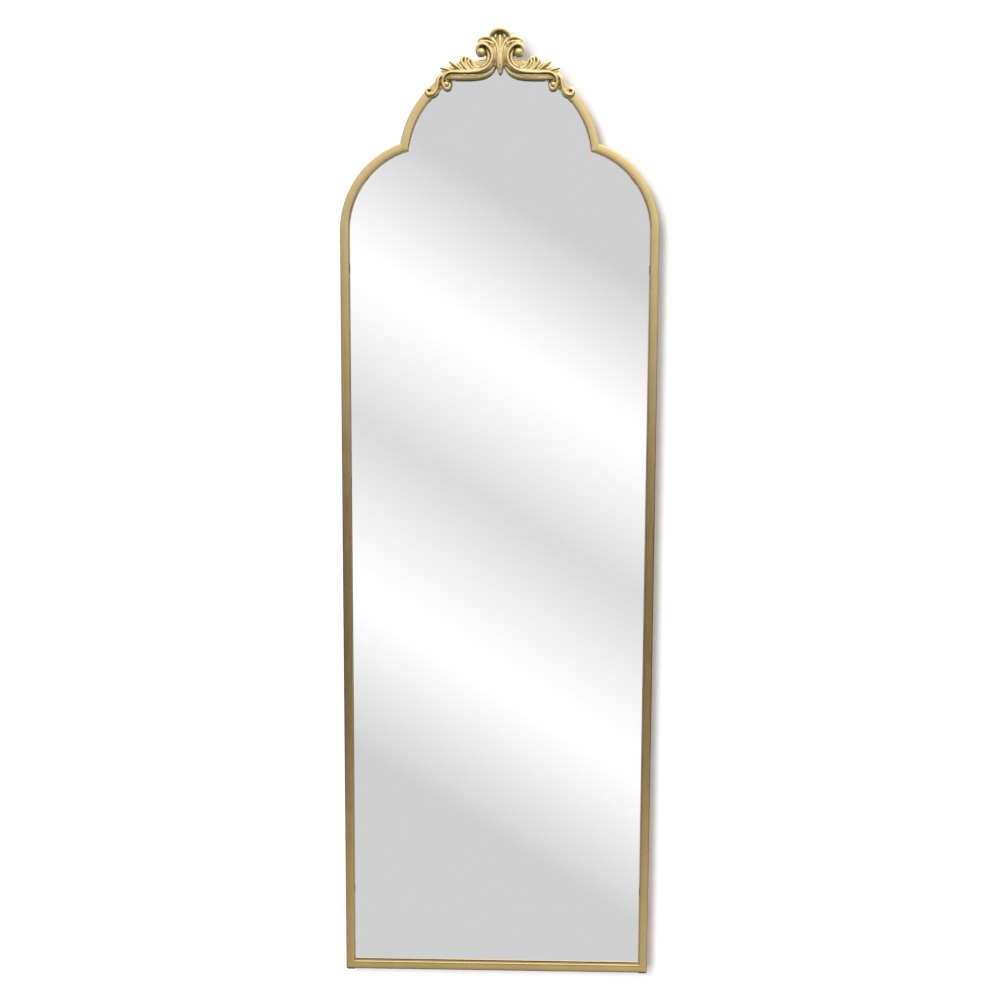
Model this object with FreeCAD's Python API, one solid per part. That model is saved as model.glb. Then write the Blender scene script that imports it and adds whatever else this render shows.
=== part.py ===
"""Leaning floor mirror: a welded frame of rectangular steel tube with shoulders and a crown
arch, a cast scroll crest on its top, a silvered glass bonded to a back board, and the hangers,
bumpers and foot pads that it is hung, leaned and stood on.

Millimetres. +Z is up, the mirror faces -Y, and X runs to the right seen from the front. The
origin lies on the floor, in the middle of the width and of the overall depth.
"""
import FreeCAD, Part
import math
import os

Vec = FreeCAD.Vector

# ---- Frame tube -------------------------------------------------------------------------------
frame_width = 560.0
crown_height = 1657.0        # floor to the top of the crown arch
crown_radius = 176.0         # outer edge of the crown arch
crown_rise = 297.0           # where a stile starts to bend to the top of the crown arch
shoulder_radius = 161.0      # outer edge of a shoulder bend
tube_face = 16.0             # width of the tube seen from the front
tube_depth = 25.0
tube_wall = 1.2
tube_corner = 2.5            # outer corner radius of the tube's section
weld_radius = 1.2            # half round bead on the back of each mitre
weld_inset = 3.0             # bead's ends to the mitre's ends

# ---- Glazing ----------------------------------------------------------------------------------
glass_recess = 9.0           # front of the tube to the front of the glass
glass_thickness = 4.0
glass_gap = 1.0              # glass and board edge to the tube
film_thickness = 0.3
film_margin = 3.0            # the film stops this far inside the glass edge
tape_thickness = 1.0
tape_width = 25.0
tape_offset = 180.0          # middle of an outer strip from the middle of the mirror
tape_start = 55.0            # top of the bottom rail to the lower end of the strips
tape_end = 100.0             # upper end of the strips to where the stiles start to bend
board_thickness = 5.0
block_length = 40.0          # setting blocks under the glass and the board
block_offset = 150.0         # middle of a block from the middle of the mirror

# ---- Board tabs and their screws --------------------------------------------------------------
tab_length = 20.0            # inward from the tube
tab_width = 16.0
tab_thickness = 1.5
tab_hole_inset = 12.0        # screw axis from the tube
stile_tab_count = 4
tab_start = 135.0            # top of the bottom rail to the lowest stile tab
tab_end = 65.0               # highest stile tab to where the stile starts to bend
rail_tab_offset = 110.0      # tabs on the bottom rail from the middle
shoulder_tab_angle = 38.0    # degrees above the shoulder's start
crown_tab_angle = 42.0       # degrees above the crown's centre line
tab_screw_diameter = 3.5
tab_screw_bite = 4.0         # depth in the board
tab_head_diameter = 7.0
tab_head_height = 2.0

# ---- Crest ------------------------------------------------------------------------------------
crest_width = 260.0
crest_relief = 17.0          # front of the tube to the foremost point of the crest
crest_screw_offset = 58.0    # outer screws from the middle of the mirror
crest_screw_diameter = 4.0
crest_screw_bite = 6.0       # depth of its hole in the crest
crest_screw_gap = 0.3        # screw's end to the bottom of its hole
crest_head_diameter = 8.0
crest_head_height = 2.6

# ---- Hangers ----------------------------------------------------------------------------------
hinge_drop = 52.0            # axis of the hanging rings to where the stiles start to bend
ring_wire = 2.5
ring_inner_width = 10.0
ring_leg = 6.0               # straight part of each leg
ring_bend = 2.0              # centre line radius between bar and leg
strap_width = 8.0
strap_thickness = 1.2
strap_length = 27.0          # below the hinge axis
hinge_clearance = 0.3        # radial, wire to loop
strap_screw_drops = (7.5, 21.0)
strap_screw_diameter = 3.0
strap_screw_bite = 5.0       # depth behind the strap, through the tube's wall
strap_head_diameter = 5.5
strap_head_height = 1.8

# ---- Restraint lug, bumpers and foot pads -----------------------------------------------------
lug_width = 18.0
lug_length = 20.0
lug_thickness = 2.0
lug_setback = 1.0            # lug to the back of the tube
lug_hole_diameter = 5.2
lug_hole_inset = 12.0
bumper_diameter = 10.0
bumper_height = 7.0
bumper_rim = 1.5             # rounding of the bumper's outer rim
bumper_angle = 38.0          # upper bumpers, degrees each side of the crown's top
bumper_start = 95.0          # top of the bottom rail to the lower bumpers
pad_thickness = 1.0
pad_length = 14.0
pad_width = 22.0
pad_inset = 2.0              # pad to the frame's side

# ---- Fits -------------------------------------------------------------------------------------
screw_clearance = 0.1        # radial, screw to its own threaded hole
hole_clearance = 0.4         # radial, screw to a hole that it passes through

# ---- Places worked out from the sizes ---------------------------------------------------------
half_width = frame_width / 2
half_depth = tube_depth / 2
middle = (crest_relief - bumper_height) / 2
front = middle - half_depth
back = middle + half_depth
shoulder_x = half_width - shoulder_radius
crown_z = crown_height - crown_radius
shoulder_height = crown_height - crown_rise
rail_bottom = pad_thickness
rail_top = rail_bottom + tube_face
hinge_height = shoulder_height - hinge_drop
glass_front = front + glass_recess
film_front = glass_front + glass_thickness
tape_front = film_front + film_thickness
board_front = tape_front + tape_thickness
board_back = board_front + board_thickness
tab_back = board_back + tab_thickness
loop_radius = ring_wire / 2 + hinge_clearance + strap_thickness
hinge_y = back + loop_radius
crest_root = middle          # crest forms start here and are cut flat at the tube's front
reach = 2 * crown_height     # longer than anything in the part

parts = {}


# ---- Plane geometry: points are (x, z) ----------------------------------------------------------
def at(point, y):
    """A point of the front view, at depth y."""
    return Vec(point[0], y, point[1])


def on_circle(centre, radius, degrees):
    angle = math.radians(degrees)
    return (centre[0] + radius * math.cos(angle), centre[1] + radius * math.sin(angle))


def cusp(inset):
    """Where shoulder and crown meet on the right, on a line this far inside the outer edge."""
    r_shoulder = shoulder_radius - inset
    r_crown = crown_radius - inset
    dx = -shoulder_x
    dz = crown_z - shoulder_height
    apart = math.hypot(dx, dz)
    along = (r_shoulder ** 2 - r_crown ** 2 + apart ** 2) / (2 * apart)
    across = math.sqrt(r_shoulder ** 2 - along ** 2)
    x = shoulder_x + (along * dx + across * dz) / apart
    z = shoulder_height + (along * dz - across * dx) / apart
    return (x, z)


def lower_corner(inset):
    """The frame's lower corner on the right, on a line this far inside the outer edge."""
    return (half_width - inset, rail_bottom + inset)


def outline(inset, y):
    """The frame's outline this far inside its outer edge, as a closed wire."""
    side, bottom = lower_corner(inset)
    right = cusp(inset)
    left = (-right[0], right[1])
    rise = math.degrees(math.atan2(right[1] - shoulder_height, right[0] - shoulder_x)) / 2
    knee = on_circle((shoulder_x, shoulder_height), shoulder_radius - inset, rise)
    top = (0, crown_height - inset)
    edges = [
        Part.LineSegment(at((-side, bottom), y), at((side, bottom), y)),
        Part.LineSegment(at((side, bottom), y), at((side, shoulder_height), y)),
        Part.Arc(at((side, shoulder_height), y), at(knee, y), at(right, y)),
        Part.Arc(at(right, y), at(top, y), at(left, y)),
        Part.Arc(at(left, y), at((-knee[0], knee[1]), y), at((-side, shoulder_height), y)),
        Part.LineSegment(at((-side, shoulder_height), y), at((-side, bottom), y)),
    ]
    return Part.Wire([edge.toShape() for edge in edges])


# ---- Solids used more than once -----------------------------------------------------------------
def sheet(inset, y, thickness):
    """A flat sheet with the frame's outline."""
    return Part.Face(outline(inset, y)).extrude(Vec(0, thickness, 0))


def block(x0, x1, y0, y1, z0, z1):
    return Part.makeBox(x1 - x0, y1 - y0, z1 - z0, Vec(x0, y0, z0))


def rod(diameter, length, point, y):
    """A cylinder along +Y that starts at depth y."""
    return Part.makeCylinder(diameter / 2, length, at(point, y), Vec(0, 1, 0))


def beside(start, end):
    """A block on the left of the line from start to end in the front view."""
    length = math.hypot(end[0] - start[0], end[1] - start[1])
    dx = (end[0] - start[0]) / length * reach
    dz = (end[1] - start[1]) / length * reach
    near = (start[0] - dx, start[1] - dz)
    far = (start[0] + dx, start[1] + dz)
    corners = [near, far, (far[0] - dz, far[1] + dx), (near[0] - dz, near[1] + dx), near]
    face = Part.Face(Part.makePolygon([at(corner, -reach) for corner in corners]))
    return face.extrude(Vec(0, 2 * reach, 0))


def mirrored(shape):
    """The same shape on the other side of the middle plane."""
    return shape.mirror(Vec(0, 0, 0), Vec(1, 0, 0))


def group(shapes):
    return Part.makeCompound(shapes)


def pan_screw(diameter, bite, head_diameter, head_height, point, seat):
    """A screw driven in from behind: its head sits on depth seat, its shank reaches forward."""
    shank = rod(diameter, bite, point, seat - bite)
    head = rod(head_diameter, head_height, point, seat)
    rim = [edge for edge in head.Edges if edge.BoundBox.YMin > seat + head_height / 2]
    head = head.makeFillet(head_height / 2, rim[:1])
    return shank.fuse(head)


# ---- Frame --------------------------------------------------------------------------------------
def rounded_wire(x0, x1, y0, y1, radius, z):
    """A rectangle with rounded corners, level at height z."""
    bow = radius * (1 - math.sqrt(0.5))
    edges = []
    corners = [(x0, y0, 1, 1), (x1, y0, -1, 1), (x1, y1, -1, -1), (x0, y1, 1, -1)]
    ends = []
    for index, (x, y, sx, sy) in enumerate(corners):
        first = Vec(x, y + sy * radius, z)
        last = Vec(x + sx * radius, y, z)
        if index % 2:
            first, last = last, first
        edges.append(Part.Arc(first, Vec(x + sx * bow, y + sy * bow, z), last).toShape())
        ends.append((first, last))
    for index in range(4):
        edges.append(Part.LineSegment(ends[index][1], ends[(index + 1) % 4][0]).toShape())
    return Part.Wire(Part.__sortEdges__(edges))


def tube_section(outer_x, z):
    """The hollow section, its outer side at outer_x."""
    inner_x = outer_x - tube_face
    outside = rounded_wire(inner_x, outer_x, front, back, tube_corner, z)
    inside = rounded_wire(inner_x + tube_wall, outer_x - tube_wall, front + tube_wall,
                          back - tube_wall, tube_corner - tube_wall, z)
    return Part.makeFace([outside, inside], "Part::FaceMakerBullseye")


def swept(outer_x, centre, degrees):
    """The tube bent about an axis through centre, from level upwards."""
    return tube_section(outer_x, centre[1]).revolve(at(centre, 0), Vec(0, -1, 0), degrees)


def stile():
    """The right stile with its shoulder, mitred at both ends."""
    straight = tube_section(half_width, rail_bottom).extrude(
        Vec(0, 0, shoulder_height - rail_bottom))
    shoulder = swept(half_width, (shoulder_x, shoulder_height), 90)
    tube = straight.fuse(shoulder)
    tube = tube.cut(beside(lower_corner(0), lower_corner(tube_face)))
    tube = tube.cut(beside(cusp(tube_face), cusp(0)))
    for drop in strap_screw_drops:
        hole = rod(strap_screw_diameter + 2 * screw_clearance, half_depth,
                   (half_width - tube_face / 2, hinge_height - drop), middle)
        tube = tube.cut(hole)
    return tube


def bottom_rail():
    """The lower rail, mitred into both stiles."""
    tube = tube_section(rail_top, -half_width).extrude(Vec(0, 0, frame_width))
    tube.rotate(Vec(0, 0, 0), Vec(0, 1, 0), 90)
    tube.translate(Vec(0, 0, rail_bottom + rail_top))
    wedge = beside(lower_corner(tube_face), lower_corner(0))
    return tube.cut(wedge).cut(mirrored(wedge))


def crown_arch():
    """The crown arch between the two shoulders, drilled for the crest's screws."""
    tube = swept(crown_radius, (0, crown_z), 180)
    wedge = beside(cusp(0), cusp(tube_face))
    tube = tube.cut(wedge).cut(mirrored(wedge))
    for point in crest_screw_points():
        tube = tube.cut(rod(crest_screw_diameter + 2 * hole_clearance, tube_depth, point, front))
    return tube


def weld_bead(start, end):
    """A half round bead along a mitre, on the flat of the tubes' back."""
    along = at(end, back) - at(start, back)
    length = along.Length - 2 * weld_inset
    along.normalize()
    bead = Part.makeCylinder(weld_radius, length, at(start, back) + along * weld_inset, along)
    return bead.cut(block(-reach, reach, back - reach, back, -reach, reach))


def weld_beads():
    beads = [weld_bead(lower_corner(0), lower_corner(tube_face)),
             weld_bead(cusp(0), cusp(tube_face))]
    return group(beads + [mirrored(bead) for bead in beads])


# ---- Glazing ------------------------------------------------------------------------------------
def mirror_glass():
    return sheet(tube_face + glass_gap, glass_front, glass_thickness)


def safety_film():
    return sheet(tube_face + glass_gap + film_margin, film_front, film_thickness)


def mounting_tape():
    strips = []
    for x in (-tape_offset, 0, tape_offset):
        strips.append(block(x - tape_width / 2, x + tape_width / 2, tape_front, board_front,
                            rail_top + tape_start, shoulder_height - tape_end))
    return group(strips)


def back_board():
    """The board that carries the glass, with a pilot hole for each tab screw."""
    board = sheet(tube_face + glass_gap, board_front, board_thickness)
    for point in tab_screw_points():
        board = board.cut(rod(tab_screw_diameter + 2 * screw_clearance, tab_screw_bite, point,
                              board_back - tab_screw_bite))
    return board


def setting_blocks():
    """Two rubber blocks between the rail and the lower edges of glass and board."""
    blocks = []
    for x in (-block_offset, block_offset):
        blocks.append(block(x - block_length / 2, x + block_length / 2, glass_front, board_back,
                            rail_top, rail_top + glass_gap))
    return group(blocks)


# ---- Board tabs ---------------------------------------------------------------------------------
def tab_seats():
    """Each tab as its seat on the tube's inner side and its direction inward, on the right."""
    seats = []
    lowest = rail_top + tab_start
    step = (shoulder_height - tab_end - lowest) / (stile_tab_count - 1)
    for index in range(stile_tab_count):
        seats.append(((half_width - tube_face, lowest + index * step), 180.0))
    seats.append(((rail_tab_offset, rail_top), 90.0))
    shoulder = on_circle((shoulder_x, shoulder_height), shoulder_radius - tube_face,
                         shoulder_tab_angle)
    seats.append((shoulder, 180.0 + shoulder_tab_angle))
    crown = on_circle((0, crown_z), crown_radius - tube_face, crown_tab_angle)
    seats.append((crown, 180.0 + crown_tab_angle))
    return seats


def tab_screw_points():
    points = [on_circle(seat, tab_hole_inset, heading) for seat, heading in tab_seats()]
    return points + [(-x, z) for x, z in points]


def lug_plate(seat, heading, length, width, thickness, y, hole_inset, hole_diameter):
    """A plate with a rounded end and a hole, trimmed to the tube where it is welded on."""
    straight = length - width / 2
    plate = block(-tube_wall, straight, y, y + thickness, -width / 2, width / 2)
    plate = plate.fuse(rod(width, thickness, (straight, 0), y))
    plate = plate.cut(rod(hole_diameter, thickness, (hole_inset, 0), y))
    plate.rotate(Vec(0, 0, 0), Vec(0, -1, 0), heading)
    plate.translate(at(seat, 0))
    return plate.common(sheet(tube_face, y, thickness))


def board_tabs():
    tabs = []
    for seat, heading in tab_seats():
        tabs.append(lug_plate(seat, heading, tab_length, tab_width, tab_thickness, board_back,
                              tab_hole_inset, tab_screw_diameter + 2 * hole_clearance))
    return group(tabs + [mirrored(tab) for tab in tabs])


def tab_screws():
    screws = []
    for point in tab_screw_points():
        screws.append(pan_screw(tab_screw_diameter, tab_thickness + tab_screw_bite,
                                tab_head_diameter, tab_head_height, point, tab_back))
    return group(screws)


def restraint_lug():
    """A drilled lug under the crown's top, for a line that ties the mirror to a wall."""
    seat = (0, crown_height - tube_face)
    return lug_plate(seat, -90.0, lug_length, lug_width, lug_thickness,
                     back - lug_setback - lug_thickness, lug_hole_inset, lug_hole_diameter)


# ---- Crest --------------------------------------------------------------------------------------
# The crest's forms are strands with a round front. Each has the relief of its widest place and
# its stations on the crest's right half: x from the middle, z from the crown's top, half width.
# They are drawn for a crest 260 wide with a relief of 17, and follow the crest's real sizes.
plan_unit = crest_width / 260
relief_unit = crest_relief / 17
scroll_band = (13.0, [(99, -27, 3.4), (82, -31, 6.6), (60, -31.5, 7.2), (43, -30.5, 8.4),
                      (28.5, -25, 9), (17.5, -14.5, 7.5), (12, -2, 5.8), (11.5, 10, 5.6),
                      (16, 20.5, 6.2), (25.5, 25, 6), (34.5, 21, 5), (39.3, 13.5, 4),
                      (38, 6, 3.2), (33, 2, 2.4)])
scroll_leaf = (9.0, [(13, 25, 2.4), (21, 31.8, 3.8), (29.5, 31, 3.8), (36.5, 25.5, 3.2),
                     (40.5, 16, 2)])
lobe_outer = (12.0, [(60, 1.2, 1.8), (63.5, -3.5, 4.4), (64, -10.5, 4.6), (58, -18, 4.6),
                     (47, -25, 4)])
lobe_middle = (10.0, [(54.5, -1.5, 1.6), (57, -6.5, 3.6), (56, -12.5, 3.8), (48, -20, 3.4)])
lobe_inner = (11.0, [(48, -4.5, 1.6), (50.2, -9, 3.4), (49, -14, 3.6), (41, -21, 3.4)])
leaf_upper = (9.0, [(88.3, -7.4, 0.8), (81.5, -11.5, 3.4), (74, -16.5, 4.8), (62, -24.5, 5)])
leaf_lower = (8.0, [(103.8, -17.4, 0.8), (96, -20, 3.4), (87, -24, 4.8), (74, -29, 5)])
inner_curl = (9.0, [(82, -29.5, 3), (91, -31.5, 3.8), (97, -38.5, 3.6), (97, -47, 3.3),
                    (91, -52.5, 3.2), (85.5, -48.5, 3)])
outer_curl = (11.0, [(95, -26.5, 3.8), (103, -34.5, 4.8), (107.5, -46, 5), (108.5, -55.5, 5.2),
                     (113.5, -62, 5.2), (121, -63, 4.2)])
stem = (9.0, [(0, 48.5, 7), (0, 41, 9), (0, 30, 8), (0, 18, 4.6), (0, 6, 3.3), (0, -8, 5),
              (0, -20, 4.2), (0, -28.5, 1)])
strands = [scroll_band, scroll_leaf, lobe_outer, lobe_middle, lobe_inner, leaf_upper, leaf_lower,
           inner_curl, outer_curl]
strand_end_share = 0.4       # relief of a strand where its width runs out
# The balls in the eyes of the scrolls: x, z, radius and relief.
scroll_ball = (30, 7.5, 8.3, 15.0)
inner_ball = (89.5, -46, 5.6, 9.5)
outer_ball = (122.5, -58.5, 7.4, 11.0)
shell_height = 33 * plan_unit       # crown's top to the middle of the shell
shell_radius = 18 * plan_unit       # outer edge of the shell's rolled lip
shell_lip_radius = 5 * plan_unit
shell_lip_angle = 215               # degrees that the lip goes round
shell_floor = 6 * relief_unit       # relief of the hollow under the lip


def strand_section(x, z, heading, half, relief):
    """A closed section across a strand: two walls from its root and a round front."""
    lift = front - max(relief - half, 0)
    across = (-math.sin(heading) * half, math.cos(heading) * half)
    left = (x + across[0], z + across[1])
    right = (x - across[0], z - across[1])
    crown = Vec(x, lift - min(half, relief), z)
    edges = [
        Part.LineSegment(at(right, crest_root), at(right, lift)),
        Part.Arc(at(right, lift), crown, at(left, lift)),
        Part.LineSegment(at(left, lift), at(left, crest_root)),
        Part.LineSegment(at(left, crest_root), at(right, crest_root)),
    ]
    return Part.Wire([edge.toShape() for edge in edges])


def strand(relief, stations):
    """A strand through its stations, its sections square to the path."""
    widest = max(half for x, z, half in stations)
    sections = []
    for index, (x, z, half) in enumerate(stations):
        before = stations[max(index - 1, 0)]
        after = stations[min(index + 1, len(stations) - 1)]
        heading = math.atan2(after[1] - before[1], after[0] - before[0])
        share = strand_end_share + (1 - strand_end_share) * half / widest
        sections.append(strand_section(x * plan_unit, crown_height + z * plan_unit, heading,
                                       half * plan_unit, relief * share * relief_unit))
    return Part.makeLoft(sections, True, False)


def ball(x, z, radius, relief):
    """A ball that stands relief proud of the tube's front, with a wall down to its root."""
    size = radius * plan_unit
    lift = front - relief * relief_unit + size
    point = (x * plan_unit, crown_height + z * plan_unit)
    wall = rod(2 * size, crest_root - lift, point, lift)
    return Part.makeSphere(size, at(point, lift)).fuse(wall)


def shell():
    """The cap above the stem: a rolled lip round a hollow."""
    middle_z = crown_height + shell_height
    lip_y = front - crest_relief + shell_lip_radius
    hollow_radius = shell_radius - shell_lip_radius
    axis = Vec(0, -1, 0)
    circle = Part.Circle(Vec(hollow_radius, lip_y, middle_z), Vec(0, 0, 1), shell_lip_radius)
    lip = Part.Face(Part.Wire([circle.toShape()])).revolve(Vec(0, 0, middle_z), axis,
                                                           shell_lip_angle)
    lip.rotate(Vec(0, 0, middle_z), axis, (180 - shell_lip_angle) / 2)
    wall = rod(2 * shell_radius, crest_root - lip_y, (0, middle_z), lip_y)
    wall = wall.cut(rod(2 * hollow_radius, front - shell_floor - lip_y, (0, middle_z), lip_y))
    under = block(-shell_radius, shell_radius, lip_y, crest_root, middle_z - shell_radius,
                  middle_z - shell_lip_radius)
    return lip.fuse(wall.cut(under))


def crest_screw_points():
    """The crest's screws, on the middle line of the crown arch."""
    radius = crown_radius - tube_face / 2
    offsets = (-crest_screw_offset, 0, crest_screw_offset)
    return [(x, crown_z + math.sqrt(radius ** 2 - x ** 2)) for x in offsets]


def crest_ornament():
    """The cast crest in one piece, flat behind where it lies on the arch."""
    right = [strand(*sizes) for sizes in strands]
    right += [ball(*scroll_ball), ball(*inner_ball), ball(*outer_ball)]
    half = right[0].multiFuse(right[1:])
    whole = half.multiFuse([mirrored(half), shell(), strand(*stem)])
    whole = whole.cut(block(-reach, reach, front, front + reach, 0, reach))
    for point in crest_screw_points():
        whole = whole.cut(rod(crest_screw_diameter + 2 * screw_clearance, crest_screw_bite,
                              point, front - crest_screw_bite))
    return whole


def crest_screws():
    length = tube_depth + crest_screw_bite - crest_screw_gap
    screws = []
    for point in crest_screw_points():
        screws.append(pan_screw(crest_screw_diameter, length, crest_head_diameter,
                                crest_head_height, point, back))
    return group(screws)


# ---- Hangers ------------------------------------------------------------------------------------
hanger_x = half_width - tube_face / 2


def hanger_strap():
    """The right strap: a plate on the stile's back, rolled at its top into a loop."""
    left = hanger_x - strap_width / 2
    right = hanger_x + strap_width / 2
    plate = block(left, right, back, back + strap_thickness, hinge_height - strap_length,
                  hinge_height)
    loop = Part.makeCylinder(loop_radius, strap_width, Vec(left, hinge_y, hinge_height),
                             Vec(1, 0, 0))
    bore = Part.makeCylinder(ring_wire / 2 + hinge_clearance, strap_width,
                             Vec(left, hinge_y, hinge_height), Vec(1, 0, 0))
    strap = plate.fuse(loop).cut(bore)
    for drop in strap_screw_drops:
        strap = strap.cut(rod(strap_screw_diameter + 2 * hole_clearance, strap_thickness,
                              (hanger_x, hinge_height - drop), back))
    return strap


def hanger_ring():
    """The right ring: a straight bar in the loop, two legs and a half round foot."""
    half = (ring_inner_width + ring_wire) / 2
    bow = ring_bend * (1 - math.sqrt(0.5))
    top = hinge_height
    knee = top - ring_bend
    foot = knee - ring_leg
    path = []
    for side in (-1, 1):
        outer = hanger_x + side * half
        inner = hanger_x + side * (half - ring_bend)
        path.append(Part.Arc(at((inner, top), hinge_y),
                             at((outer - side * bow, top - bow), hinge_y),
                             at((outer, knee), hinge_y)))
        path.append(Part.LineSegment(at((outer, knee), hinge_y), at((outer, foot), hinge_y)))
    path.append(Part.LineSegment(at((hanger_x - half + ring_bend, top), hinge_y),
                                 at((hanger_x + half - ring_bend, top), hinge_y)))
    path.append(Part.Arc(at((hanger_x - half, foot), hinge_y),
                         at((hanger_x, foot - half), hinge_y),
                         at((hanger_x + half, foot), hinge_y)))
    pieces = []
    for curve in path:
        start = curve.StartPoint
        tangent = curve.tangent(curve.FirstParameter)[0]
        circle = Part.Circle(start, tangent, ring_wire / 2).toShape()
        line = Part.Wire([curve.toShape()])
        pieces.append(line.makePipeShell([Part.Wire([circle])], True, False))
    return pieces[0].multiFuse(pieces[1:])


def hanger_screws():
    screws = []
    for drop in strap_screw_drops:
        point = (hanger_x, hinge_height - drop)
        screws.append(pan_screw(strap_screw_diameter, strap_thickness + strap_screw_bite,
                                strap_head_diameter, strap_head_height, point,
                                back + strap_thickness))
    return group(screws + [mirrored(screw) for screw in screws])


# ---- Bumpers and pads ---------------------------------------------------------------------------
def wall_bumpers():
    """Four rubber bumpers on the frame's back: two on the crown and two low on the stiles."""
    radius = crown_radius - tube_face / 2
    points = [on_circle((0, crown_z), radius, 90 - bumper_angle),
              (half_width - tube_face / 2, rail_top + bumper_start)]
    bumpers = []
    for point in points:
        bumper = rod(bumper_diameter, bumper_height, point, back)
        rim = [edge for edge in bumper.Edges if edge.BoundBox.YMin > back + bumper_height / 2]
        bumpers.append(bumper.makeFillet(bumper_rim, rim[:1]))
    return group(bumpers + [mirrored(bumper) for bumper in bumpers])


def foot_pads():
    """Two rubber pads under the ends of the bottom rail."""
    outer = half_width - pad_inset
    pad = block(outer - pad_length, outer, middle - pad_width / 2, middle + pad_width / 2,
                0, pad_thickness)
    upright = [edge for edge in pad.Edges if edge.BoundBox.ZLength > pad_thickness / 2]
    pad = pad.makeFillet(pad_inset, upright)
    return group([pad, mirrored(pad)])


# ---- Assembly -----------------------------------------------------------------------------------
parts["right_stile"] = stile()
parts["left_stile"] = mirrored(parts["right_stile"])
parts["bottom_rail"] = bottom_rail()
parts["crown_arch"] = crown_arch()
parts["weld_beads"] = weld_beads()
parts["mirror_glass"] = mirror_glass()
parts["safety_film"] = safety_film()
parts["mounting_tape"] = mounting_tape()
parts["back_board"] = back_board()
parts["setting_blocks"] = setting_blocks()
parts["board_tabs"] = board_tabs()
parts["tab_screws"] = tab_screws()
parts["restraint_lug"] = restraint_lug()
parts["crest_ornament"] = crest_ornament()
parts["crest_screws"] = crest_screws()
parts["right_hanger_strap"] = hanger_strap()
parts["left_hanger_strap"] = mirrored(parts["right_hanger_strap"])
parts["right_hanger_ring"] = hanger_ring()
parts["left_hanger_ring"] = mirrored(parts["right_hanger_ring"])
parts["hanger_screws"] = hanger_screws()
parts["wall_bumpers"] = wall_bumpers()
parts["foot_pads"] = foot_pads()

os.makedirs("parts", exist_ok=True)
for name, shape in parts.items():
    shape.exportStep("parts/" + name + ".step")
    print(name, len(shape.Solids), "solids, valid", shape.isValid(),
          "volume", round(shape.Volume, 1))
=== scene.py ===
"""Leaning floor mirror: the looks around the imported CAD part.

Metres, in the part's own frame: +Z up, the mirror faces -Y, +X to the right seen from the front.
The frame's four tubes and the crest are modelled again here with their fine forms.
Every other CAD node keeps its shape and gets its finish.
"""

import math

import bmesh
import bpy
import numpy as np
from mathutils import Matrix, Vector


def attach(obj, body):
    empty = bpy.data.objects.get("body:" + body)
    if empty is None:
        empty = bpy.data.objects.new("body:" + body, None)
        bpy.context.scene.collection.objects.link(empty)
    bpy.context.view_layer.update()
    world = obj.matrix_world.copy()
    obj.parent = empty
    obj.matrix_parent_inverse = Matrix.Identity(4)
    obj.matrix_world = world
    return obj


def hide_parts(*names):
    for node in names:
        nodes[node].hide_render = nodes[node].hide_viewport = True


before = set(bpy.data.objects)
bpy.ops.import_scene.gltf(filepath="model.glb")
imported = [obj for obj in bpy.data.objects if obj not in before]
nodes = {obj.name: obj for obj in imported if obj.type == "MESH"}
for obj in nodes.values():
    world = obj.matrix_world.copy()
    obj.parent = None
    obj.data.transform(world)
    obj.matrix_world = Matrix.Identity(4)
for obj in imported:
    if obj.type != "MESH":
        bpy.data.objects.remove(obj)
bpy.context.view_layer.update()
bpy.ops.object.select_all(action="DESELECT")
bpy.context.scene.view_settings.view_transform = "Standard"

# ---- Sizes shared with the part, in metres ------------------------------------------------------
HALF_WIDTH = 0.280
CROWN_TOP = 1.657
CROWN_RADIUS = 0.176
CROWN_Z = CROWN_TOP - CROWN_RADIUS
SHOULDER_RADIUS = 0.161
SHOULDER_X = HALF_WIDTH - SHOULDER_RADIUS
SHOULDER_Z = 1.360
TUBE_FACE = 0.016
FRONT = -0.0075
BACK = 0.0175
TUBE_DEPTH = BACK - FRONT
TUBE_Y = (FRONT + BACK) / 2
RAIL_BOTTOM = 0.001

# ---- Sizes of the forms modelled here -----------------------------------------------------------
TUBE_CORNER = 0.0025
CORNER_STEPS = 5
SHOULDER_STEPS = 48
CROWN_STEPS = 96
TUBE_MERGE = 0.00002  # points closer than this are merged
TUBE_SMOOTH = 32  # degrees between faces that are shaded as one
WALL_Y = 0.0255  # 1 mm behind the bumpers
WALL_SIZE = 14

# ---- Camera -------------------------------------------------------------------------------------
CAMERA_PLACE = (0.0866, -3.016, 1.3168)
CAMERA_HEADING, CAMERA_DIP, CAMERA_ROLL = 1.589, 8.133, 0.245  # degrees
CAMERA_LENS, SENSOR_WIDTH = 61.2, 36.0  # millimetres
NEAREST = 0.05


def place_camera():
    """The photograph's viewpoint: a little right of the middle and looking slightly down."""
    data = bpy.data.cameras.new("camera")
    data.lens = CAMERA_LENS
    data.sensor_width = SENSOR_WIDTH
    data.clip_start = NEAREST
    camera = bpy.data.objects.new("camera", data)
    bpy.context.scene.collection.objects.link(camera)
    turn = (Matrix.Rotation(math.radians(CAMERA_HEADING), 4, "Z")
            @ Matrix.Rotation(math.radians(90 - CAMERA_DIP), 4, "X")
            @ Matrix.Rotation(math.radians(CAMERA_ROLL), 4, "Z"))
    camera.matrix_world = Matrix.Translation(CAMERA_PLACE) @ turn
    bpy.context.scene.camera = camera


place_camera()


# ---- Node helpers -------------------------------------------------------------------------------
def add_node(tree, kind, values=None, **settings):
    """A shader node with its settings, and its inputs set or linked by name or number."""
    node = tree.nodes.new(kind)
    for name, value in settings.items():
        setattr(node, name, value)
    for name, value in (values or {}).items():
        socket = node.inputs[name]
        if isinstance(value, bpy.types.NodeSocket):
            tree.links.new(value, socket)
        else:
            socket.default_value = value
    return node


def maths(tree, operation, *values):
    return add_node(tree, "ShaderNodeMath", dict(enumerate(values)), operation=operation).outputs[0]


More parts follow.
